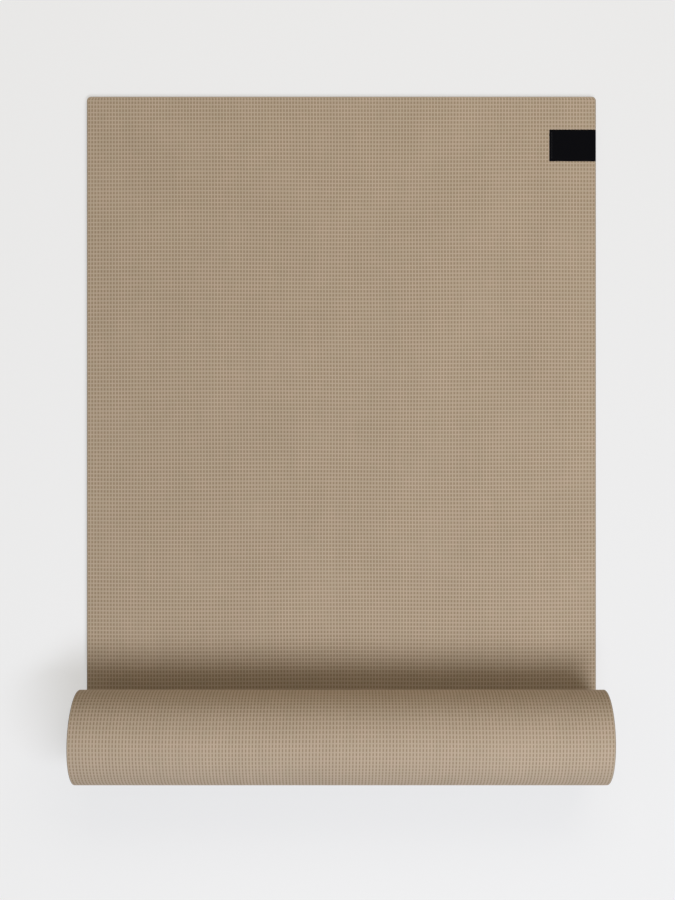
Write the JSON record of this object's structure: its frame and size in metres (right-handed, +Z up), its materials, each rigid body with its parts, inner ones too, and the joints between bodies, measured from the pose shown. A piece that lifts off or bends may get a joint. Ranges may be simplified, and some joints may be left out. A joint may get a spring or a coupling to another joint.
{
  "type": "yoga mat",
  "caption": "Foam yoga mat with a net core, its free end laid flat and the rest wound into a roll, with a black label folded round one edge.",
  "frame": {"origin": "on the floor, under the middle of the part's outline seen from above", "axes": "+X across the mat, towards the edge with the label; +Y along the mat, from the roll to the free end; +Z up from the floor"},
  "size_m": [0.61, 0.8088, 0.1112],
  "materials": {
    "foam": "matt soft foam with a fine grid of pressed pits",
    "net": "open woven net of pale yarn",
    "label_cloth": "plain black woven ribbon",
    "thread": "twisted black sewing thread"
  },
  "bodies": {
    "root": {"top_foam": "foam", "reinforcing_scrim": "net", "base_foam": "foam", "edge_label": "label_cloth", "needle_thread": "thread", "bobbin_thread": "thread"}
  },
  "joints": []
}
